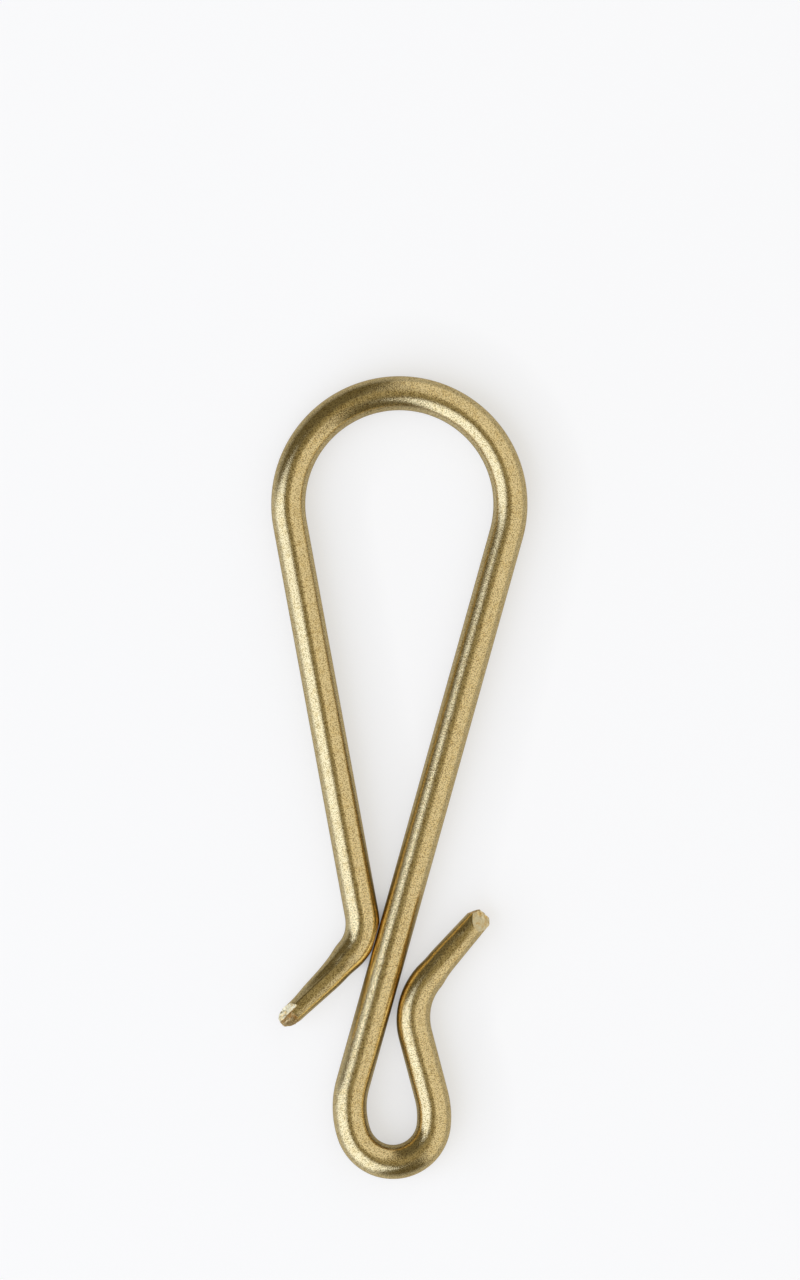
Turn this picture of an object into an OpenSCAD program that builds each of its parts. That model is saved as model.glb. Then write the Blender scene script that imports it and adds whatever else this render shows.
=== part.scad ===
// Wire key hook: one length of round brass wire, bent in one plane.
// A straight stem carries a large bow and long sprung leg for a belt or pocket at one end,
// and a small bow and short sprung leg for a key ring at the other.
// The hook lies flat with its wire on the ground plane, its length along Y,
// and the origin below the middle of its outline.

/* [Wire] */
// Diameter of the round wire
wire_d = 4; // [2.5:0.1:5]

/* [Stem] */
// Length of the straight stem between the two bows
stem_len = 66.8; // [60:0.1:90]
// Lean of the stem from the hook's length, in degrees
stem_lean = 15.6; // [10:0.1:20]

/* [Belt gate] */
// Radius of the large bow, to the middle of the wire
belt_bow_r = 13; // [10:0.1:18]
// Straight length of the long sprung leg
belt_leg_len = 46.4; // [38:0.1:54]
// Radius of the long leg's knee, to the middle of the wire
belt_knee_r = 5.3; // [4:0.1:9]
// Turn of the long leg's knee, in degrees
belt_knee_turn = 54.7; // [35:0.1:75]
// Depth of the flat on this knee where it bears on the stem
belt_knee_flat = 0.25; // [0.05:0.01:0.6]
// Clearance between that flat and the stem
belt_gap = 0.05; // [0.02:0.01:2]
// Length of the long leg's flared tip
belt_tip_len = 11.6; // [7:0.1:18]
// Length over which the wire necks down at the root of this tip
belt_neck_len = 1.7; // [0.8:0.1:4]
// Diameter of this tip at the end of its neck
belt_neck_d = 3.3; // [2.2:0.1:4.8]
// Diameter of this tip at its end
belt_end_d = 2.4; // [1.6:0.1:4.4]

/* [Key gate] */
// Radius of the small bow at its bottom, to the middle of the wire
key_bow_r = 4.8; // [3.5:0.1:8]
// Radius of the small bow's two shoulders, to the middle of the wire
key_shoulder_r = 10; // [8.5:0.1:16]
// Turn of the shoulder next to the stem, in degrees
stem_shoulder_turn = 34; // [15:0.5:45]
// Turn of the shoulder next to the short leg, in degrees
leg_shoulder_turn = 20; // [8:0.5:30]
// Straight length of the short sprung leg
key_leg_len = 7.3; // [4:0.1:14]
// Radius of the short leg's knee, to the middle of the wire
key_knee_r = 7.4; // [5:0.1:12]
// Turn of the short leg's knee, in degrees
key_knee_turn = 56; // [38:0.1:75]
// Clearance between the short leg's knee and the stem
key_gap = 0.5; // [0.05:0.05:2]
// Length of the short leg's flared tip
key_tip_len = 9.9; // [6:0.1:16]
// Length over which the wire necks down at the root of this tip
key_neck_len = 2.1; // [0.8:0.1:4]
// Diameter of this tip at the end of its neck
key_neck_d = 3.4; // [2.2:0.1:4.8]
// Diameter of this tip at its end
key_end_d = 2.9; // [1.8:0.1:4.4]

/* [Hidden] */
$fn = 96;

brass = [0.78, 0.66, 0.40];
wire_r = wire_d / 2;
// Side of the blocks that cut the flats, well over the wire
cutter = 2 * wire_d;

// The ends are nipped off with cutters, which rounds them over and leaves flat facets. Each
// facet's normal is turned left of the wire's axis by the first angle and raised above the
// ground plane by the second. It crosses the axis back from the tip's full length by a share
// of the diameter there, and the rounding is a share of that diameter too.
belt_facet_turns = [[-45, 47], [60, 35]];
belt_facet_back_shares = [0.25, 0.42];
belt_end_round_share = 0.38;
key_facet_turns = [[-35, 43], [45, 25]];
key_facet_back_shares = [0.15, 0.17];
key_end_round_share = 0.14;
// Step of the points round such an end, in degrees
round_step = 15;

// The long leg closes on the stem at this angle. Square to the stem, the bow and the knee
// reach out by arm * cos(angle) and the leg comes back by leg * sin(angle), which leaves
// the knee one wire and its clearance, less its flat, away from the stem's middle.
belt_arm = belt_bow_r + belt_knee_r;
belt_reach = wire_d + belt_gap - belt_knee_flat + belt_knee_r - belt_bow_r;
belt_close = acos(belt_reach / norm([belt_arm, belt_leg_len])) - atan2(belt_leg_len, belt_arm);
belt_bow_turn = 180 + belt_close;

// The small bow turns until the short leg's knee stands off the stem in the same way. Its
// sum has one more radius, because the shoulders are wider than the bottom of the bow.
shoulder_extra = key_shoulder_r - key_bow_r;
key_across = shoulder_extra * cos(leg_shoulder_turn) - key_shoulder_r - key_knee_r;
key_along = shoulder_extra * sin(leg_shoulder_turn) + key_leg_len;
key_reach = wire_d + key_gap + key_knee_r - key_shoulder_r + shoulder_extra * cos(stem_shoulder_turn);
key_turn = atan2(key_along, key_across) + acos(key_reach / norm([key_across, key_along]));
key_bottom_turn = key_turn - stem_shoulder_turn - leg_shoulder_turn;

// A station is [x, y, heading]: a point on the wire's centre line, measured from the middle
// of the large bow, and the way that the wire runs on from there.
function run_on(at, len) = [at.x + len * cos(at.z), at.y + len * sin(at.z), at.z];
function bend_middle(at, r, turn) = [
    at.x - sign(turn) * r * sin(at.z),
    at.y + sign(turn) * r * cos(at.z)
];
function bend_on(at, r, turn) =
    let (middle = bend_middle(at, r, turn), out = at.z + turn - sign(turn) * 90)
    [middle.x + r * cos(out), middle.y + r * sin(out), at.z + turn];

stem_up = 90 - stem_lean;
stem_top = [belt_bow_r * sin(stem_up), -belt_bow_r * cos(stem_up), stem_up];
stem_down = [stem_top.x, stem_top.y, stem_up + 180];
stem_foot = run_on(stem_down, stem_len);

belt_leg_top = bend_on(stem_top, belt_bow_r, belt_bow_turn);
belt_knee_top = run_on(belt_leg_top, belt_leg_len);
belt_tip_root = bend_on(belt_knee_top, belt_knee_r, -belt_knee_turn);

key_bottom_in = bend_on(stem_foot, key_shoulder_r, stem_shoulder_turn);
key_bottom_out = bend_on(key_bottom_in, key_bow_r, key_bottom_turn);
key_leg_foot = bend_on(key_bottom_out, key_shoulder_r, leg_shoulder_turn);
key_knee_foot = run_on(key_leg_foot, key_leg_len);
key_tip_root = bend_on(key_knee_foot, key_knee_r, -key_knee_turn);

// Half way between the crown of the large bow and the bottom of the small one
crown_y = belt_bow_r + wire_r;
bottom_y = bend_middle(key_bottom_in, key_bow_r, key_bottom_turn).y - key_bow_r - wire_r;
middle_y = (crown_y + bottom_y) / 2;

// Puts what is drawn round a point of the centre line in the hook's own place
module put(at) {
    translate([at.x, at.y - middle_y, wire_r])
        children();
}

// A straight stretch of wire
module straight_wire(at, len) {
    put(at)
        rotate([0, 90, at.z])
            cylinder(h = len, d = wire_d);
}

// A stretch bent round a mandrel, anticlockwise for a turn above 0
module bent_wire(at, r, turn) {
    start = turn > 0 ? at.z - 90 : at.z + 90 + turn;
    put(bend_middle(at, r, turn))
        rotate([0, 0, start])
            rotate_extrude(angle = abs(turn))
                translate([r, 0])
                    circle(d = wire_d);
}

// A flared tip: the wire necks down, tapers on, and ends where the cutters nipped it
module nipped_tip(at, len, neck_len, neck_d, end_d, round_share, facet_turns, back_shares) {
    nose = run_on(at, len);
    end_round = round_share * end_d;
    rounded = [
        for (a = [0:round_step:90])
            [end_d / 2 - end_round * (1 - cos(a)), len - end_round * (1 - sin(a))]
    ];
    outline = concat([[0, 0], [wire_r, 0], [neck_d / 2, neck_len]], rounded, [[0, len]]);
    difference() {
        put(at)
            rotate([0, 90, at.z])
                rotate_extrude()
                    polygon(outline);
        put(nose)
            rotate([0, 0, nose.z])
                for (i = [0:len(facet_turns) - 1])
                    translate([-back_shares[i] * end_d, 0, 0])
                        rotate([0, -facet_turns[i][1], facet_turns[i][0]])
                            translate([0, -cutter / 2, -cutter / 2])
                                cube(cutter);
    }
}

// Takes off what would come nearer to the stem than the long leg's clearance, which
// leaves the bearing flat on its knee
module pressed_flat() {
    difference() {
        children();
        put(stem_foot)
            rotate([0, 0, stem_up])
                translate([0, wire_r + belt_gap - cutter, -cutter / 2])
                    cube([stem_len, cutter, cutter]);
    }
}

module stem() {
    color(brass)
        straight_wire(stem_down, stem_len);
}

module belt_bow() {
    color(brass)
        bent_wire(stem_top, belt_bow_r, belt_bow_turn);
}

module belt_leg() {
    color(brass)
        pressed_flat()
            straight_wire(belt_leg_top, belt_leg_len);
}

module belt_knee() {
    color(brass)
        pressed_flat()
            bent_wire(belt_knee_top, belt_knee_r, -belt_knee_turn);
}

module belt_tip() {
    color(brass)
        pressed_flat()
            nipped_tip(belt_tip_root, belt_tip_len, belt_neck_len, belt_neck_d, belt_end_d,
                belt_end_round_share, belt_facet_turns, belt_facet_back_shares);
}

module stem_shoulder() {
    color(brass)
        bent_wire(stem_foot, key_shoulder_r, stem_shoulder_turn);
}

module key_bow() {
    color(brass)
        bent_wire(key_bottom_in, key_bow_r, key_bottom_turn);
}

module leg_shoulder() {
    color(brass)
        bent_wire(key_bottom_out, key_shoulder_r, leg_shoulder_turn);
}

module key_leg() {
    color(brass)
        straight_wire(key_leg_foot, key_leg_len);
}

module key_knee() {
    color(brass)
        bent_wire(key_knee_foot, key_knee_r, -key_knee_turn);
}

module key_tip() {
    color(brass)
        nipped_tip(key_tip_root, key_tip_len, key_neck_len, key_neck_d, key_end_d,
            key_end_round_share, key_facet_turns, key_facet_back_shares);
}

stem();
belt_bow();
belt_leg();
belt_knee();
belt_tip();
stem_shoulder();
key_bow();
leg_shoulder();
key_leg();
key_knee();
key_tip();
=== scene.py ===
import bpy
import math
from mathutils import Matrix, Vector


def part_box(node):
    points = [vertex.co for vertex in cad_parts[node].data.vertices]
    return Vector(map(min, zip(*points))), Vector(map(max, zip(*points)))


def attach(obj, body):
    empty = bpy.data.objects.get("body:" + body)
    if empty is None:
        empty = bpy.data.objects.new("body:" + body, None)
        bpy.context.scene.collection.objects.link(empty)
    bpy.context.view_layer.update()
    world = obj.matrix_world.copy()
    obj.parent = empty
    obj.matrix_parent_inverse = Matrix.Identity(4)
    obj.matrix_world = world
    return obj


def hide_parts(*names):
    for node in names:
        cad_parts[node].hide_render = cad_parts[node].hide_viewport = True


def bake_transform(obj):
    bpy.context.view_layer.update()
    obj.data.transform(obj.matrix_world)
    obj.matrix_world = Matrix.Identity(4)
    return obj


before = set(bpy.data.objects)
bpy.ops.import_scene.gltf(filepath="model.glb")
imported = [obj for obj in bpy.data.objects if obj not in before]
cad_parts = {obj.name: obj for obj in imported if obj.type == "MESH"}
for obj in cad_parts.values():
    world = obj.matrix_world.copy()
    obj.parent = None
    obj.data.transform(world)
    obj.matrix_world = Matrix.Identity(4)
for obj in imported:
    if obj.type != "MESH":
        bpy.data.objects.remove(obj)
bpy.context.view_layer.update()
print("frame loaded:", len(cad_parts), "stretches of wire")

mm = 0.001  # metres

# the brass wire that the whole hook is bent from
wire = {
    "radius": 2.0 * mm,
    "sides": 72,
    "straightStep": 0.5 * mm,
    "bendStep": 1.5,  # degrees
    "smoothAngle": 34,  # degrees
    "sameSize": 1e-6,  # a smaller change of size is left out
    "cutNearness": 1e-7,
    "slot": "brass_wire",
}


# A station is a point on the middle of the wire and the way that the wire runs on, in degrees

def towards(heading, length):
    angle = math.radians(heading)
    return Vector((math.cos(angle), math.sin(angle), 0)) * length


def stationAfter(at, length):
    point, heading = at
    return point + towards(heading, length), heading


def bendMiddle(at, bendRadius, turn):
    point, heading = at
    return point + towards(heading + math.copysign(90, turn), bendRadius)


def stationAfterBend(at, bendRadius, turn):
    middle = bendMiddle(at, bendRadius, turn)
    out = at[1] + turn - math.copysign(90, turn)
    return middle + towards(out, bendRadius), at[1] + turn


def smooth(share):
    share = min(max(share, 0), 1)
    return share * share * (3 - 2 * share)


# Drawing and bending the wire by hand, with the open end always selected in edit mode

def clearSelection():
    if bpy.context.object and bpy.context.object.mode != "OBJECT":
        bpy.ops.object.mode_set(mode="OBJECT")
    bpy.ops.object.select_all(action="DESELECT")


def startWire(name, at, wide=wire["radius"], high=wire["radius"]):
    point, heading = at
    clearSelection()
    bpy.ops.mesh.primitive_circle_add(
        vertices=wire["sides"],
        radius=wire["radius"],
        fill_type="NGON",
        location=point,
        rotation=(math.pi / 2, 0, math.radians(heading + 90)),
    )
    piece = bpy.context.object
    piece.name = piece.data.name = name
    bpy.ops.object.transform_apply(location=True, rotation=True, scale=True)
    bpy.ops.object.mode_set(mode="EDIT")
    bpy.ops.mesh.select_mode(type="FACE")
    bpy.ops.mesh.select_all(action="SELECT")
    work = {"piece": piece, "at": at, "wide": wire["radius"], "high": wire["radius"]}
    sizeEnd(work, wide, high)
    return work


def sizeEnd(work, wide, high):
    # swages the open end to this half width and half height
    across, upright = wide / work["wide"], high / work["high"]
    if max(abs(across - 1), abs(upright - 1)) > wire["sameSize"]:
        bpy.ops.transform.resize(value=(across, across, upright), center_override=work["at"][0])
    work["wide"], work["high"] = wide, high


def moveEnd(work, point):
    stride = point - work["at"][0]
    bpy.ops.mesh.extrude_region_move(TRANSFORM_OT_translate={"value": tuple(stride)})
    work["at"] = (point, work["at"][1])


def pullStraight(work, length, sizesAt=None):
    steps = max(1, round(length / wire["straightStep"]))
    start, heading = work["at"]
    high = work["high"]
    for step in range(1, steps + 1):
        wide, tall, aside = sizesAt(length * step / steps) if sizesAt else (work["wide"], high, 0)
        # the top stays level, as on an anvil
        shift = towards(heading + 90, aside) + Vector((0, 0, high - tall))
        moveEnd(work, start + towards(heading, length * step / steps) + shift)
        sizeEnd(work, wide, tall)


def roundOver(work, end):
    # draws the open end in, more on one side than on the other
    start, heading = work["at"]
    wide, high = work["wide"], work["high"]
    for step in range(1, end["steps"] + 1):
        angle = math.radians(end["angle"] * step / end["steps"])
        drawn = math.cos(angle)
        blunt = drawn ** end["blunt"]
        aside = towards(heading + 90, wide * (drawn ** end["lean"] - blunt) / 2)
        moveEnd(work, start + towards(heading, end["length"] * math.sin(angle)) + aside)
        sizeEnd(work, wide * (drawn ** end["lean"] + blunt) / 2, high * drawn ** end["dome"])


def bendRound(work, bendRadius, turn, wide=wire["radius"], high=wire["radius"]):
    # a spin turns the other way from a heading
    middle = bendMiddle(work["at"], bendRadius, turn)
    steps = max(2, round(abs(turn) / wire["bendStep"]))
    if wide == work["wide"] and high == work["high"]:
        bpy.ops.mesh.spin(steps=steps, angle=-math.radians(turn), center=middle, axis=(0, 0, 1))
        work["at"] = stationAfterBend(work["at"], bendRadius, turn)
        return
    first = work["wide"], work["high"]
    for step in range(1, steps + 1):
        bpy.ops.mesh.spin(steps=1, angle=-math.radians(turn / steps), center=middle, axis=(0, 0, 1))
        work["at"] = stationAfterBend(work["at"], bendRadius, turn / steps)
        share = smooth(step / steps)
        sizeEnd(work, first[0] + (wide - first[0]) * share, first[1] + (high - first[1]) * share)


def cutOff(point, normal):
    # cuts away what is past this plane and closes the wire there
    bpy.ops.mesh.select_all(action="SELECT")
    bpy.ops.mesh.bisect(
        plane_co=point,
        plane_no=normal,
        use_fill=True,
        clear_outer=True,
        threshold=wire["cutNearness"],
    )


def finishWire(work):
    piece = work["piece"]
    bpy.ops.mesh.select_all(action="SELECT")
    bpy.ops.mesh.normals_make_consistent(inside=False)
    bpy.ops.object.mode_set(mode="OBJECT")
    bpy.ops.object.shade_smooth_by_angle(angle=math.radians(wire["smoothAngle"]))
    return piece


def makeLumps(name, size, detail=2):
    texture = bpy.data.textures.new(name, "CLOUDS")
    texture.noise_scale = size
    texture.noise_depth = detail
    return texture


def displace(piece, texture, depth, shareAt):
    # moves the surface in or out, as far as this share says for each of its points
    group = piece.vertex_groups.new(name="worked")
    for vertex in piece.data.vertices:
        share = shareAt(vertex.co)
        if share > 0:
            group.add([vertex.index], min(share, 1), "ADD")
    work = piece.modifiers.new("worked", "DISPLACE")
    if texture:
        work.texture = texture
        work.texture_coords = "LOCAL"
    else:
        work.mid_level = 0
    work.strength = depth
    work.vertex_group = group.name
    bpy.ops.object.modifier_apply(modifier=work.name)
    piece.vertex_groups.clear()


def pressIn(piece, mark, measure):
    # presses a thin groove along the top of the wire, or two flats that leave a crest between them
    def shareAt(place):
        along, across = measure(place)
        if place.z < wire["radius"]:
            return 0
        deepens = smooth((along - mark["start"]) / mark["fade"])
        lasts = deepens * smooth((mark["stop"] - along) / mark["fade"])
        aside = across - mark["across"] - mark["drift"] * along
        if "flats" in mark:
            width = mark["flats"][0 if aside < 0 else 1]
            return lasts * (1 - (abs(aside) / width - 1) ** 2)
        return lasts * smooth(1 - abs(aside) / mark["width"])

    displace(piece, None, -mark["depth"], shareAt)


def dress(piece, nodes, *materials):
    for material in materials:
        piece.data.materials.append(material)
    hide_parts(*nodes)


# The grain and the tone of the brass, shared by the materials

def emptyTree(block):
    block.use_nodes = True
    block.node_tree.nodes.clear()
    return block.node_tree


def addNode(tree, kind, place, **settings):
    node = tree.nodes.new(kind)
    node.location = place
    for key, value in settings.items():
        setattr(node, key, value)
    return node


def addMath(tree, operation, place, first, second):
    node = addNode(tree, "ShaderNodeMath", place, operation=operation)
    for socket, value in zip(node.inputs, (first, second)):
        if isinstance(value, (int, float)):
            socket.default_value = value
        else:
            tree.links.new(value, socket)
    return node.outputs[0]


def addRange(tree, place, value, span, shown=(0.0, 1.0), **settings):
    # stretches this span of the value over what is shown
    node = addNode(tree, "ShaderNodeMapRange", place, **settings)
    node.inputs["From Min"].default_value, node.inputs["From Max"].default_value = span
    node.inputs["To Min"].default_value, node.inputs["To Max"].default_value = shown
    tree.links.new(value, node.inputs["Value"])
    return node.outputs["Result"]


def addNoise(tree, place, vector, size, detail, roughness=0.5):
    node = addNode(tree, "ShaderNodeTexNoise", place)
    node.inputs["Scale"].default_value = 1 / size
    node.inputs["Detail"].default_value = detail
    node.inputs["Roughness"].default_value = roughness
    tree.links.new(vector, node.inputs["Vector"])
    return node.outputs["Fac"]


tumbling = {
    "grainSize": 0.14 * mm,
    "grainDetail": 3.0,
    "grainRoughness": 0.6,
    "dimpleSize": 0.7 * mm,
    "dimpleDetail": 2.0,
    "swellSize": 5.0 * mm,
    "swellDetail": 1.0,
    "toneSize": 9.0 * mm,
    "toneDetail": 3.0,
    # the spans of the grain, the dimples and the tones that colour the brass and set its gloss
    "speckSpan": (0.40, 0.52),
    "stainSpan": (0.48, 0.68),
    "toneSpan": (0.3, 0.7),
}


def makeTumbledGroup():
    group = bpy.data.node_groups.new("tumbledFinish", "ShaderNodeTree")
    group.interface.new_socket("Vector", in_out="INPUT", socket_type="NodeSocketVector")
    for name in ("Dimple", "Swell"):
        group.interface.new_socket(name, in_out="INPUT", socket_type="NodeSocketFloat")
    for name in ("Height", "Speck", "Tone", "Stain"):
        group.interface.new_socket(name, in_out="OUTPUT", socket_type="NodeSocketFloat")
    enter = addNode(group, "NodeGroupInput", (-900, 0))
    leave = addNode(group, "NodeGroupOutput", (600, 0))
    vector = enter.outputs["Vector"]
    grain = addNoise(
        group, (-600, 300), vector, tumbling["grainSize"], tumbling["grainDetail"],
        tumbling["grainRoughness"],
    )
    dimples = addNoise(group, (-600, 50), vector, tumbling["dimpleSize"], tumbling["dimpleDetail"])
    swells = addNoise(group, (-600, -200), vector, tumbling["swellSize"], tumbling["swellDetail"])
    tones = addNoise(group, (-600, -450), vector, tumbling["toneSize"], tumbling["toneDetail"])
    dimpled = addMath(group, "MULTIPLY", (-300, 50), dimples, enter.outputs["Dimple"])
    swelled = addMath(group, "MULTIPLY", (-300, -200), swells, enter.outputs["Swell"])
    fine = addMath(group, "ADD", (0, 200), grain, dimpled)
    height = addMath(group, "ADD", (250, 100), fine, swelled)
    group.links.new(height, leave.inputs["Height"])
    group.links.new(grain, leave.inputs["Speck"])
    group.links.new(tones, leave.inputs["Tone"])
    group.links.new(dimples, leave.inputs["Stain"])
    return group


tumbledGroup = makeTumbledGroup()

# The finishes; dimples and swells are measured in heights of the grain
brass = {
    "clean": (1.0, 0.80, 0.41, 1),
    "dull": (0.47, 0.34, 0.135, 1),
    "stain": (0.93, 0.89, 0.80, 1),
    "rim": (0.94, 0.86, 0.68, 1),
    "roughness": (0.14, 0.19),
    "grainDepth": 0.016 * mm,
    "dimple": 0.4,
    "swell": 1.5,
}

nipped = {
    "clean": (1.0, 0.88, 0.55, 1),
    "dull": (0.86, 0.66, 0.33, 1),
    "stain": (0.92, 0.74, 0.46, 1),
    "rim": (0.94, 0.86, 0.68, 1),
    "roughness": (0.22, 0.4),
    "grainDepth": 0.02 * mm,
    "dimple": 1.4,
    "swell": 0.0,
}

# a rougher, browner finish, darker than the tumbled brass, on the torn faces of the tips
torn = {
    "clean": (1.0, 0.78, 0.40, 1),
    "dull": (0.52, 0.32, 0.13, 1),
    "stain": (0.86, 0.66, 0.44, 1),
    "rim": (0.94, 0.80, 0.60, 1),
    "roughness": (0.3, 0.5),
    "grainDepth": 0.03 * mm,
    "dimple": 1.8,
    "swell": 0.0,
}


def makeBrass(name, finish):
    material = bpy.data.materials.new(name)
    tree = emptyTree(material)
    leave = addNode(tree, "ShaderNodeOutputMaterial", (700, 0))
    shader = addNode(tree, "ShaderNodeBsdfPrincipled", (400, 0))
    shader.inputs["Metallic"].default_value = 1.0
    shader.inputs["Specular Tint"].default_value = finish["rim"]
    place = addNode(tree, "ShaderNodeTexCoord", (-900, 0))
    group = addNode(tree, "ShaderNodeGroup", (-600, 0), node_tree=tumbledGroup)
    group.inputs["Dimple"].default_value = finish["dimple"]
    group.inputs["Swell"].default_value = finish["swell"]
    tree.links.new(place.outputs["Object"], group.inputs["Vector"])
    colour = addNode(tree, "ShaderNodeMix", (0, 200), data_type="RGBA")
    colour.inputs["A"].default_value = finish["dull"]
    colour.inputs["B"].default_value = finish["clean"]
    speck = addRange(tree, (-300, 300), group.outputs["Speck"], tumbling["speckSpan"])
    tree.links.new(speck, colour.inputs["Factor"])
    stain = addRange(tree, (-300, 550), group.outputs["Stain"], tumbling["stainSpan"])
    stained = addNode(tree, "ShaderNodeMix", (200, 300), data_type="RGBA", blend_type="MULTIPLY")
    stained.inputs["B"].default_value = finish["stain"]
    tree.links.new(stain, stained.inputs["Factor"])
    tree.links.new(colour.outputs["Result"], stained.inputs["A"])
    tree.links.new(stained.outputs["Result"], shader.inputs["Base Color"])
    gloss = addRange(
        tree, (-300, 0), group.outputs["Tone"], tumbling["toneSpan"], finish["roughness"],
    )
    tree.links.new(gloss, shader.inputs["Roughness"])
    bump = addNode(tree, "ShaderNodeBump", (0, -300))
    bump.inputs["Strength"].default_value = 1.0
    bump.inputs["Distance"].default_value = finish["grainDepth"]
    tree.links.new(group.outputs["Height"], bump.inputs["Height"])
    tree.links.new(bump.outputs["Normal"], shader.inputs["Normal"])
    tree.links.new(shader.outputs["BSDF"], leave.inputs["Surface"])
    return material


tumbledBrass = makeBrass("tumbledBrass", brass)
nippedBrass = makeBrass("nippedBrass", nipped)
tornBrass = makeBrass("tornBrass", torn)
print("materials made")

# The stem and the large bow, from the top of the stem

stem = {"length": 66.8 * mm, "lean": 15.6}
beltBow = {
    "radius": 13.0 * mm,
    "springShare": 0.82,  # of the radius, where the spring's turn starts and ends
    # scored while it was bent, measured round the bow and out from its middle line
    "marks": [
        {"start": 25.0 * mm, "stop": 35.5 * mm, "across": -0.5 * mm, "drift": 0,
         "width": 0.26 * mm, "depth": 0.045 * mm, "fade": 3.0 * mm},
    ],
}
beltLeg = {"length": 46.4 * mm}
beltKnee = {
    "radius": 5.3 * mm,
    "turn": 54.7,
    "flat": 0.25 * mm,
    "gap": 0.05 * mm,
    "endWide": 1.86 * mm,
    "endHigh": 1.96 * mm,
}

bowLow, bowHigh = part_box("belt_bow")
bowCentre = Vector((
    (bowLow.x + bowHigh.x) / 2,
    bowHigh.y - beltBow["radius"] - wire["radius"],
    (bowLow.z + bowHigh.z) / 2,
))
stemUp = 90 - stem["lean"]
stemTop = (bowCentre + towards(stemUp - 90, beltBow["radius"]), stemUp)
stemDown = (stemTop[0], stemUp + 180)
stemFoot = stationAfter(stemDown, stem["length"])


def closingTurn():
    # the large bow turns until the long leg's knee bears on the stem
    arm = beltBow["radius"] + beltKnee["radius"]
    reach = (
        2 * wire["radius"] + beltKnee["gap"] - beltKnee["flat"]
        + beltKnee["radius"] - beltBow["radius"]
    )
    swing = math.acos(reach / math.hypot(arm, beltLeg["length"]))
    return 180 + math.degrees(swing - math.atan2(beltLeg["length"], arm))


def makeStem():
    work = startWire("stem_wire", stemDown)
    pullStraight(work, stem["length"])
    piece = finishWire(work)
    dress(piece, ["stem"], tumbledBrass)
    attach(piece, "stem")


def makeBeltBow():
    work = startWire("belt_bow_wire", stemTop)
    bendRound(work, beltBow["radius"], closingTurn())
    piece = finishWire(work)

    def roundBow(place):
        out = place - bowCentre
        along = math.atan2(out.y, out.x) * beltBow["radius"]
        return along, math.hypot(out.x, out.y) - beltBow["radius"]

    for mark in beltBow["marks"]:
        pressIn(piece, mark, roundBow)
    dress(piece, ["belt_bow"], tumbledBrass)
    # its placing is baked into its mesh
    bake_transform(piece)
    return work["at"]


def pressFlat():
    # takes off what would come nearer to the stem than the long leg's clearance
    side = towards(stemUp + 90, 1)
    cutOff(stemTop[0] + side * (wire["radius"] + beltKnee["gap"]), -side)


def makeBeltLeg(at):
    work = startWire("belt_leg_wire", at)
    pullStraight(work, beltLeg["length"])
    end = work["at"]
    pressFlat()
    piece = finishWire(work)
    dress(piece, ["belt_leg"], tumbledBrass)
    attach(piece, "belt_gate")
    return end


# The pliers that turned the knee left it crumpled on its inner side
pliers = {
    "back": 1.1 * mm,
    "aside": -1.05 * mm,
    "up": 1.7 * mm,
    "reach": 1.9 * mm,
    "size": 0.4 * mm,
    "depth": 0.05 * mm,
}

pliersMarks = makeLumps("pliersMarks", pliers["size"])


def crumpleKnee(piece, root):
    # in object mode; the knee and the tip share the mark across their seam
    point, heading = root
    spot = point - towards(heading, pliers["back"]) + towards(heading + 90, pliers["aside"])
    spot += Vector((0, 0, pliers["up"]))
    displace(
        piece, pliersMarks, pliers["depth"],
        lambda place: smooth(1 - (place - spot).length / pliers["reach"]),
    )


def makeBeltKnee(at):
    work = startWire("belt_knee_wire", at)
    bendRound(
        work, beltKnee["radius"], -beltKnee["turn"], beltKnee["endWide"], beltKnee["endHigh"],
    )
    end = work["at"]
    pressFlat()
    piece = finishWire(work)
    crumpleKnee(piece, end)
    dress(piece, ["belt_knee"], tumbledBrass)
    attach(piece, "belt_gate")
    return end


# The flared tips: swaged down, rounded over, then nipped off by cutters that leave facets

beltTip = {
    "length": 8.9 * mm,
    "wide": beltKnee["endWide"],
    "high": beltKnee["endHigh"],
    "neckDrop": 0.14 * mm,
    "neckSpan": 2.2 * mm,
    "wideTaper": 0.054,
    "highTaper": 0.06,
    "aside": 0.27 * mm,
    "asideTaper": 0.02,
    "asideSpan": 4.2 * mm,
    "end": {"length": 2.5 * mm, "angle": 78, "steps": 12, "lean": 1.0, "blunt": 0.2, "dome": 0.5},
    "tornFrom": 9.5 * mm,
    "pliers": True,
    "marks": [
        {"start": 0.8 * mm, "stop": 9.8 * mm, "across": -0.12 * mm, "drift": -0.05,
         "flats": (0.4 * mm, 0.5 * mm), "depth": 0.11 * mm, "fade": 2.0 * mm},
        {"start": 1.5 * mm, "stop": 8.0 * mm, "across": 0.95 * mm, "drift": -0.05,
         "width": 0.24 * mm, "depth": 0.035 * mm, "fade": 1.6 * mm},
    ],
    "facets": [
        # the burr's wall stands beside this facet, along a groove that starts here
        {"turn": -45, "rise": 47, "along": 10.3 * mm, "aside": -0.26 * mm, "deep": 0.27 * mm,
         "wallTurn": -78, "wallRise": 16},
    ],
}


def swagedSizes(tip, length):
    # it necks more on the inner side of the knee, which sets its middle aside
    neck = smooth(length / tip["neckSpan"])
    wide = tip["wide"] - tip["neckDrop"] * neck - tip["wideTaper"] * length
    aside = smooth(length / tip["asideSpan"]) * (tip["aside"] - tip["asideTaper"] * length)
    return wide, tip["high"] - tip["highTaper"] * length, aside


def facingWay(heading, turn, rise):
    lift = math.radians(rise)
    return towards(heading + turn, math.cos(lift)) + Vector((0, 0, math.sin(lift)))


# The nippers' jaw, and the torn surface that it leaves
jaw = {
    "size": 8 * mm,
    "sameWay": 0.9995,  # the cosine of how far a face may lean from its plane
    "level": 0.005 * mm,  # and how far it may stand off it
    "grid": 0.13 * mm,
    "roughSize": 0.3 * mm,
    "roughDepth": 0.27 * mm,
    "roughRamp": 0.35 * mm,
}

tornSurface = makeLumps("tornSurface", jaw["roughSize"])

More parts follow.
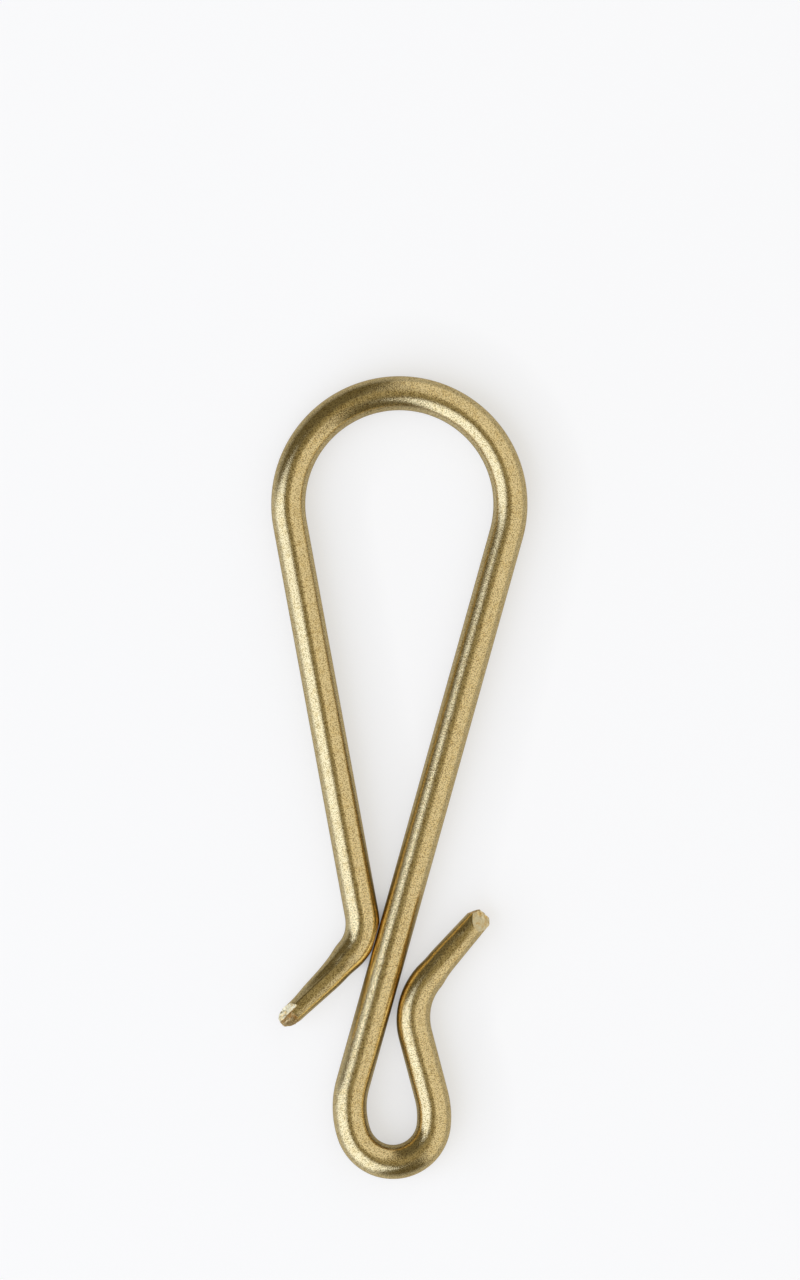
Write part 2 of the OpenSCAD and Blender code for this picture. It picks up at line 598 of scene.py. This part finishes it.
# each tip has these finishes in its slots, in this order
tipFinishes = {"tumbled": tumbledBrass, "nipped": nippedBrass, "torn": tornBrass}


def slotOf(finish):
    return list(tipFinishes).index(finish)


def selectFacing(piece, point, normal):
    # ends in edit mode, with only the faces on this plane selected
    bpy.ops.object.mode_set(mode="EDIT")
    bpy.ops.mesh.select_all(action="DESELECT")
    bpy.ops.object.mode_set(mode="OBJECT")
    for face in piece.data.polygons:
        level = abs((face.center - point).dot(normal)) < jaw["level"]
        face.select = level and face.normal.dot(normal) > jaw["sameWay"]
    bpy.ops.object.mode_set(mode="EDIT")


def giveFinish(piece, finish):
    piece.active_material_index = slotOf(finish)
    bpy.ops.object.material_slot_assign()


def biteOut(piece, groove, normal, wall):
    # bites out what lies past the facet and before its wall, which leaves a burr
    clearSelection()
    bpy.ops.mesh.primitive_cube_add(size=jaw["size"], location=groove)
    block = bpy.context.object
    bpy.ops.object.transform_apply(location=True, rotation=True, scale=True)
    bpy.ops.object.mode_set(mode="EDIT")
    cutOff(groove, -normal)
    cutOff(groove, -wall)
    bpy.ops.mesh.select_all(action="SELECT")
    bpy.ops.mesh.normals_make_consistent(inside=False)
    clearSelection()
    piece.select_set(True)
    bpy.context.view_layer.objects.active = piece
    bite = piece.modifiers.new("bite", "BOOLEAN")
    bite.operation = "DIFFERENCE"
    bite.solver = "EXACT"
    bite.object = block
    bpy.ops.object.modifier_apply(modifier=bite.name)
    bpy.data.objects.remove(block)


def crossHatch(piece, point, normal):
    # cuts a flat face into a fine grid, which is roughened later
    across = normal.cross(Vector((0, 0, 1))).normalized()
    for direction in (across, normal.cross(across)):
        selectFacing(piece, point, normal)
        bpy.ops.object.mode_set(mode="OBJECT")
        places = [
            piece.data.vertices[index].co.dot(direction)
            for face in piece.data.polygons if face.select for index in face.vertices
        ]
        low, high = min(places), max(places)
        for step in range(1, int((high - low) / jaw["grid"])):
            selectFacing(piece, point, normal)
            bpy.ops.mesh.bisect(plane_co=direction * (low + jaw["grid"] * step), plane_no=direction)


def makeTip(name, root, tip, node, body):
    work = startWire(name, root, tip["wide"], tip["high"])
    piece = work["piece"]
    for material in tipFinishes.values():
        piece.data.materials.append(material)
    pullStraight(work, tip["length"], lambda length: swagedSizes(tip, length))
    # the middle of the wire has lifted with its level top
    heading = root[1]
    point = root[0] + Vector((0, 0, work["at"][0].z - root[0].z))
    ahead = towards(heading, 1)
    roundOver(work, tip["end"])
    bpy.ops.object.mode_set(mode="OBJECT")
    for face in piece.data.polygons:
        if (face.center - point).dot(ahead) > tip["tornFrom"]:
            face.material_index = slotOf("torn")
    bpy.ops.object.mode_set(mode="EDIT")
    planes = [(work["at"][0], ahead, "torn")]
    for facet in tip["facets"]:
        normal = facingWay(heading, facet["turn"], facet["rise"])
        spot = point + towards(heading, facet["along"])
        if "wallTurn" in facet:
            spot += towards(heading + 90, facet["aside"]) + Vector((0, 0, facet["deep"]))
            wall = facingWay(heading, facet["wallTurn"], facet["wallRise"])
            biteOut(piece, spot, normal, wall)
            planes.append((spot, wall, "torn"))
        else:
            cutOff(spot, normal)
        planes.append((spot, normal, facet.get("finish", "nipped")))
    for spot, normal, finish in planes:
        selectFacing(piece, spot, normal)
        giveFinish(piece, finish)
        crossHatch(piece, spot, normal)
    finishWire(work)
    # the torn end is lumpy
    displace(
        piece, tornSurface, jaw["roughDepth"],
        lambda place: ((place - point).dot(ahead) - tip["tornFrom"]) / jaw["roughRamp"],
    )
    if "pliers" in tip:
        crumpleKnee(piece, root)
    aside = towards(heading + 90, 1)
    for mark in tip["marks"]:
        pressIn(piece, mark, lambda place: ((place - point).dot(ahead), (place - point).dot(aside)))
    dress(piece, [node])
    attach(piece, body)


makeStem()
beltLegTop = makeBeltBow()
beltKneeTop = makeBeltLeg(beltLegTop)
beltTipRoot = makeBeltKnee(beltKneeTop)
makeTip("belt_tip_wire", beltTipRoot, beltTip, "belt_tip", "belt_gate")
print("belt side bent")

# The small bow, its two shoulders and the short leg, from the foot of the stem

keyBow = {
    "radius": 4.8 * mm,
    "shoulderRadius": 10.0 * mm,
    "stemShoulder": 34,
    "legShoulder": 20,
    "springShare": 0.57,  # of the radius, as on the large bow
}
keyLeg = {"length": 7.3 * mm}
keyKnee = {
    "radius": 7.4 * mm, "turn": 56, "gap": 0.5 * mm, "endWide": 1.845 * mm, "endHigh": 1.96 * mm,
}
keyTip = {
    "length": 9.1 * mm,
    "wide": keyKnee["endWide"],
    "high": keyKnee["endHigh"],
    "neckDrop": 0.115 * mm,
    "neckSpan": 1.6 * mm,
    "wideTaper": 0.036,
    "highTaper": 0.045,
    "aside": 0.13 * mm,
    "asideTaper": 0.0,
    "asideSpan": 2.8 * mm,
    "end": {"length": 0.74 * mm, "angle": 75, "steps": 6, "lean": 0.35, "blunt": 0.3, "dome": 0.5},
    "tornFrom": 8.9 * mm,
    "marks": [
        {"start": 0.1 * mm, "stop": 7.4 * mm, "across": -0.36 * mm, "drift": 0,
         "flats": (0.4 * mm, 0.6 * mm), "depth": 0.07 * mm, "fade": 2.2 * mm},
        {"start": 0.1 * mm, "stop": 5.6 * mm, "across": 0.94 * mm, "drift": 0.01,
         "width": 0.24 * mm, "depth": 0.06 * mm, "fade": 1.4 * mm},
    ],
    "facets": [
        {"turn": -30, "rise": 43, "along": 9.6 * mm},
        {"turn": 56, "rise": 4, "along": 10.82 * mm, "finish": "torn"},
    ],
}


def keyBottomTurn():
    # the small bow turns until the short leg's knee stands its gap off the stem
    extra = keyBow["shoulderRadius"] - keyBow["radius"]
    legShoulder = math.radians(keyBow["legShoulder"])
    stemShoulder = math.radians(keyBow["stemShoulder"])
    across = extra * math.cos(legShoulder) - keyBow["shoulderRadius"] - keyKnee["radius"]
    along = extra * math.sin(legShoulder) + keyLeg["length"]
    reach = (
        2 * wire["radius"] + keyKnee["gap"] + keyKnee["radius"]
        - keyBow["shoulderRadius"] + extra * math.cos(stemShoulder)
    )
    turn = math.atan2(along, across) + math.acos(reach / math.hypot(across, along))
    return math.degrees(turn) - keyBow["stemShoulder"] - keyBow["legShoulder"]


def makeStemShoulder(at):
    work = startWire("stem_shoulder_wire", at)
    bendRound(work, keyBow["shoulderRadius"], keyBow["stemShoulder"])
    end = work["at"]
    piece = finishWire(work)
    dress(piece, ["stem_shoulder"], tumbledBrass)
    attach(piece, "stem")
    return end


def makeKeyBow(at):
    work = startWire("key_bow_wire", at)
    bendRound(work, keyBow["radius"], keyBottomTurn())
    piece = finishWire(work)
    dress(piece, ["key_bow"], tumbledBrass)
    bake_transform(piece)
    return work["at"]


def makeLegShoulder(at):
    work = startWire("leg_shoulder_wire", at)
    bendRound(work, keyBow["shoulderRadius"], keyBow["legShoulder"])
    end = work["at"]
    piece = finishWire(work)
    dress(piece, ["leg_shoulder"], tumbledBrass)
    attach(piece, "key_gate")
    return end


def makeKeyLeg(at):
    work = startWire("key_leg_wire", at)
    pullStraight(work, keyLeg["length"])
    end = work["at"]
    piece = finishWire(work)
    dress(piece, ["key_leg"], tumbledBrass)
    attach(piece, "key_gate")
    return end


def makeKeyKnee(at):
    work = startWire("key_knee_wire", at)
    bendRound(work, keyKnee["radius"], -keyKnee["turn"], keyKnee["endWide"], keyKnee["endHigh"])
    end = work["at"]
    piece = finishWire(work)
    dress(piece, ["key_knee"], tumbledBrass)
    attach(piece, "key_gate")
    return end


keyBowStart = makeStemShoulder(stemFoot)
keyBowEnd = makeKeyBow(keyBowStart)
keyLegFoot = makeLegShoulder(keyBowEnd)
keyKneeFoot = makeKeyLeg(keyLegFoot)
keyTipRoot = makeKeyKnee(keyKneeFoot)
makeTip("key_tip_wire", keyTipRoot, keyTip, "key_tip", "key_gate")
print("key side bent")

# Floor, light and camera

studio = {
    "floorSize": 4.0,
    "floorDrop": 0.02 * mm,
    "floorColour": (0.38, 0.38, 0.38, 1),
    "floorShown": 0.735,
    "shownColour": (1.0, 0.995, 0.985, 1),
    # painted shadow: how far and how deep the floor's glow is darkened beside the wire, away from the
    # window
    "paintedShadowReach": 8 * mm,
    "paintedShadowDepth": 0.24,
    # the reach of the painted shade near the wire, in gaps and in the wire's mirror
    "paintedShadeReach": 35 * mm,
    # painted shade in what the wire mirrors: the floor's glow darker near the wire and at a grazing
    # angle
    "mirrorShadeDepth": 1.6,
    "studioColour": (1.0, 0.89, 0.58, 1),
    # painted shade in narrow gaps between runs of the wire
    "gapShadeSpan": (0.06, 0.26),
    "gapShadeLevel": 0.35,
    "mirrorShown": 0.58,
    "mirrorGrazingShade": 0.9,
    "sheenRoughness": 0.3,
    "sheenIor": 2.2,
    "slantBlend": 0.5,
    "shadeSamples": 16,
    "skySpan": (0.85, 1.0),  # how far up the sky brightens
    "skyLevels": (0.13, 0.27),
}

# Soft panels, well out, so that they light the floor evenly. Each stands away from the hook at
# its heading, and its tilt is how far it looks down.
softLights = {
    "windowPanel": {
        "heading": 214, "away": 1.3, "up": 0.88, "tilt": 27,
        "width": 2.65, "height": 2.15, "level": 0.95, "colour": (1.0, 1.16, 1.6),
    },
    "whiteWall": {
        "heading": 20, "away": 0.975, "up": 2.65, "tilt": 0,
        "width": 5.75, "height": 5.3, "level": 0.58, "colour": (1.0, 1.0, 1.03),
    },
}


def paintedShadowSeen(tree, ray, shadeAround):
    # how much of its lift the camera sees: it fades where the wire stands before the window, a painted
    # shadow that darkens the floor's glow beside the wire
    window = softLights["windowPanel"]
    lean = math.radians(window["tilt"])
    facing = addNode(tree, "ShaderNodeCombineXYZ", (-1200, -350))
    toWindow = towards(window["heading"], math.cos(lean)) + Vector((0, 0, math.sin(lean)))
    for socket, value in zip(facing.inputs, toWindow):
        socket.default_value = value
    paintedShadowCast = addNode(tree, "ShaderNodeAmbientOcclusion", (-1000, -350), samples=studio["shadeSamples"])
    paintedShadowCast.inputs["Distance"].default_value = studio["paintedShadowReach"]
    tree.links.new(facing.outputs["Vector"], paintedShadowCast.inputs["Normal"])
    shown = addMath(tree, "POWER", (-800, -300), paintedShadowCast.outputs["AO"], studio["paintedShadowDepth"])
    # painted shade: the floor's glow is darkened in narrow gaps between two runs of the wire
    gap = addRange(
        tree, (-800, -700), shadeAround.outputs["AO"], studio["gapShadeSpan"], (studio["gapShadeLevel"], 1.0),
        interpolation_type="SMOOTHSTEP",
    )
    paintedShadowAndGapShade = addMath(tree, "MULTIPLY", (-700, -250), shown, gap)
    clear = addMath(
        tree, "MAXIMUM", (-800, -100),
        ray.outputs["Is Camera Ray"], ray.outputs["Is Transmission Ray"],
    )
    return addMath(tree, "MULTIPLY", (-600, -200), clear, paintedShadowAndGapShade)


def paintedShadeMirrored(tree, ray, shadeAround):
    # how much of its lift the wire mirrors: more where the floor is seen steeply; painted shade
    # darkens the mirrored glow near the wire and at a grazing angle
    mirrorNearShade = addMath(tree, "POWER", (-800, -500), shadeAround.outputs["AO"], studio["mirrorShadeDepth"])
    slant = addNode(tree, "ShaderNodeLayerWeight", (-1200, -800))
    slant.inputs["Blend"].default_value = studio["slantBlend"]
    steep = addMath(tree, "SUBTRACT", (-1000, -800), 1.0, slant.outputs["Facing"])
    grazingShade = addMath(tree, "POWER", (-800, -800), steep, studio["mirrorGrazingShade"])
    paintedMirrorShade = addMath(tree, "MULTIPLY", (-700, -500), mirrorNearShade, grazingShade)
    lessened = addMath(tree, "MULTIPLY", (-600, -500), paintedMirrorShade, studio["mirrorShown"])
    return addMath(tree, "MULTIPLY", (-600, -400), ray.outputs["Is Glossy Ray"], lessened)


def makePaper():
    material = bpy.data.materials.new("paleFloor")
    tree = emptyTree(material)
    leave = addNode(tree, "ShaderNodeOutputMaterial", (600, 0))
    ray = addNode(tree, "ShaderNodeLightPath", (-1000, -100))
    # matt paper, with a sheen at a grazing angle that only the wire shows
    matt = addNode(tree, "ShaderNodeBsdfDiffuse", (-200, 300))
    matt.inputs["Color"].default_value = studio["floorColour"]
    sheen = addNode(tree, "ShaderNodeBsdfAnisotropic", (-200, 150))
    sheen.inputs["Roughness"].default_value = studio["sheenRoughness"]
    grazing = addNode(tree, "ShaderNodeFresnel", (-600, 400))
    grazing.inputs["IOR"].default_value = studio["sheenIor"]
    sheened = addMath(
        tree, "MULTIPLY", (-400, 350), grazing.outputs["Fac"], ray.outputs["Is Glossy Ray"],
    )
    paper = addNode(tree, "ShaderNodeMixShader", (50, 200))
    tree.links.new(sheened, paper.inputs[0])
    tree.links.new(matt.outputs["BSDF"], paper.inputs[1])
    tree.links.new(sheen.outputs["BSDF"], paper.inputs[2])
    # it glows a little: this lift makes it pale in the picture, and less so in the wire; the glow also
    # carries the painted shadow beside the wire and the painted shade in gaps and in the wire's mirror
    # occlusion round the wire, which paints shade into the floor's glow in narrow gaps and in what the
    # wire mirrors
    shadeAround = addNode(tree, "ShaderNodeAmbientOcclusion", (-1000, -550), samples=studio["shadeSamples"])
    shadeAround.inputs["Distance"].default_value = studio["paintedShadeReach"]
    seen = paintedShadowSeen(tree, ray, shadeAround)
    mirroredGlowShaded = paintedShadeMirrored(tree, ray, shadeAround)
    lifted = addMath(tree, "ADD", (-400, -300), seen, mirroredGlowShaded)
    strength = addMath(tree, "MULTIPLY", (-200, -100), lifted, studio["floorShown"])
    lift = addNode(tree, "ShaderNodeEmission", (0, -100))
    lift.inputs["Color"].default_value = studio["shownColour"]
    tree.links.new(strength, lift.inputs["Strength"])
    both = addNode(tree, "ShaderNodeAddShader", (300, 0))
    tree.links.new(paper.outputs["Shader"], both.inputs[0])
    tree.links.new(lift.outputs["Emission"], both.inputs[1])
    tree.links.new(both.outputs["Shader"], leave.inputs["Surface"])
    return material


def makeFloor():
    clearSelection()
    drop = (0, 0, -studio["floorDrop"])
    bpy.ops.mesh.primitive_plane_add(size=studio["floorSize"], location=drop)
    floor = bpy.context.object
    floor.name = "floor"
    floor.data.materials.append(makePaper())


def makeSoftLight(name, light):
    data = bpy.data.lights.new(name, "AREA")
    data.shape = "RECTANGLE"
    data.size = light["width"]
    data.size_y = light["height"]
    # the level is how bright its face looks
    data.energy = light["level"] * math.pi * light["width"] * light["height"]
    data.color = light["colour"]
    lamp = bpy.data.objects.new(name, data)
    bpy.context.scene.collection.objects.link(lamp)
    tilt = math.radians(light["tilt"])
    back = towards(light["heading"], math.cos(tilt)) + Vector((0, 0, math.sin(tilt)))
    lamp.location = towards(light["heading"], light["away"]) + Vector((0, 0, light["up"]))
    lamp.rotation_euler = back.to_track_quat("Z", "Y").to_euler()
    lamp.visible_camera = False


def makeWorld():
    # a dim studio, darkest low down
    world = bpy.data.worlds.new("studio")
    bpy.context.scene.world = world
    tree = emptyTree(world)
    leave = addNode(tree, "ShaderNodeOutputWorld", (400, 0))
    sky = addNode(tree, "ShaderNodeBackground", (200, 0))
    sky.inputs["Color"].default_value = studio["studioColour"]
    place = addNode(tree, "ShaderNodeTexCoord", (-600, 0))
    split = addNode(tree, "ShaderNodeSeparateXYZ", (-400, 0))
    tree.links.new(place.outputs["Generated"], split.inputs["Vector"])
    level = addRange(
        tree, (-200, 0), split.outputs["Z"], studio["skySpan"], studio["skyLevels"],
        interpolation_type="SMOOTHSTEP",
    )
    tree.links.new(level, sky.inputs["Strength"])
    tree.links.new(sky.outputs["Background"], leave.inputs["Surface"])


photoCamera = {
    "target": Vector((0.08 * mm, 16.1 * mm, 2.0 * mm)),
    "height": 0.9,
    "frameLength": 149.8 * mm,  # what the picture's long side takes in
    "sensor": 36.0,
    "clip": (0.05, 20),
}


def makeCamera():
    data = bpy.data.cameras.new("overhead")
    data.sensor_width = photoCamera["sensor"]
    data.lens = photoCamera["sensor"] * photoCamera["height"] / photoCamera["frameLength"]
    data.clip_start, data.clip_end = photoCamera["clip"]
    camera = bpy.data.objects.new("overhead", data)
    bpy.context.scene.collection.objects.link(camera)
    camera.location = photoCamera["target"] + Vector((0, 0, photoCamera["height"]))
    bpy.context.scene.camera = camera


makeFloor()
for lightName, light in softLights.items():
    makeSoftLight(lightName, light)
makeWorld()
makeCamera()
bpy.context.scene.view_settings.view_transform = "Standard"
print("studio set")
